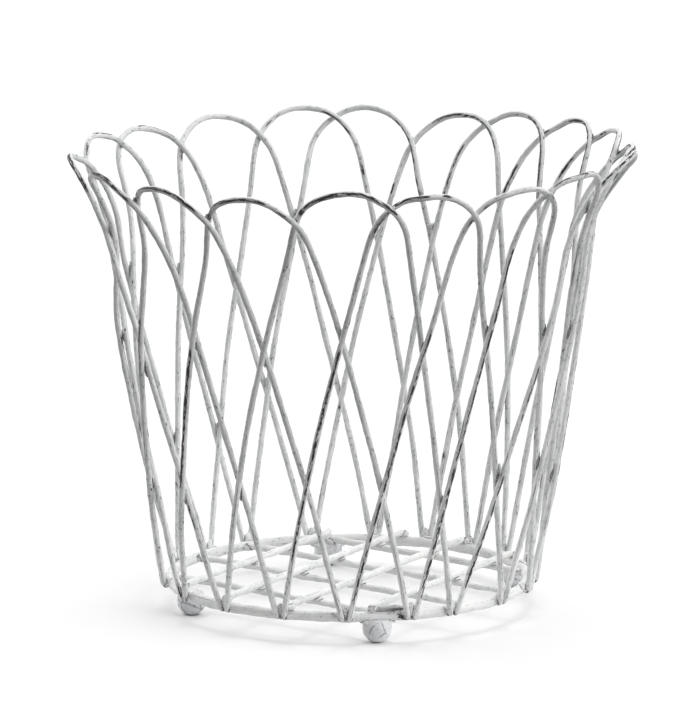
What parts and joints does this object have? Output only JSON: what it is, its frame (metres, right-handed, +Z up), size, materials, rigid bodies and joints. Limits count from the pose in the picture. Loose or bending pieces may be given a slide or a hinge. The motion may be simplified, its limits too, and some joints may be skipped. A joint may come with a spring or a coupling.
{
  "type": "wire planter",
  "caption": "Round openwork planter of interlaced bent-wire hoops flaring to a scalloped rim, welded to a base ring with a rod grid and ball feet, in worn white paint.",
  "frame": {"origin": "on the floor under the middle of the rim, with the base ring centred on the vertical axis", "axes": "+Z up, -Y toward the front foot side seen in the picture, +X to the right of that view"},
  "size_m": [0.3035, 0.3074, 0.2506],
  "materials": {
    "hoop_paint": "brushed white paint, worn through to dark steel in streaks and chips",
    "ring_paint": "brushed white paint with dark weld crevices",
    "rod_paint": "brushed white and grey paint",
    "foot_paint": "brushed grey-white paint, rubbed through to steel underneath"
  },
  "bodies": {
    "root": {"hoop_01": "hoop_paint", "hoop_02": "hoop_paint", "hoop_03": "hoop_paint", "hoop_04": "hoop_paint", "hoop_05": "hoop_paint", "hoop_06": "hoop_paint", "hoop_07": "hoop_paint", "hoop_08": "hoop_paint", "hoop_09": "hoop_paint", "hoop_10": "hoop_paint", "hoop_11": "hoop_paint", "hoop_12": "hoop_paint", "hoop_13": "hoop_paint", "hoop_14": "hoop_paint", "hoop_15": "hoop_paint", "hoop_16": "hoop_paint", "hoop_17": "hoop_paint", "hoop_18": "hoop_paint", "hoop_19": "hoop_paint", "base_ring": "ring_paint", "lower_rod_1": "rod_paint", "lower_rod_2": "rod_paint", "lower_rod_3": "rod_paint", "lower_rod_4": "rod_paint", "upper_rod_1": "rod_paint", "upper_rod_2": "rod_paint", "upper_rod_3": "rod_paint", "upper_rod_4": "rod_paint", "foot_front": "foot_paint", "foot_right": "foot_paint", "foot_back": "foot_paint", "foot_left": "foot_paint"}
  },
  "joints": []
}
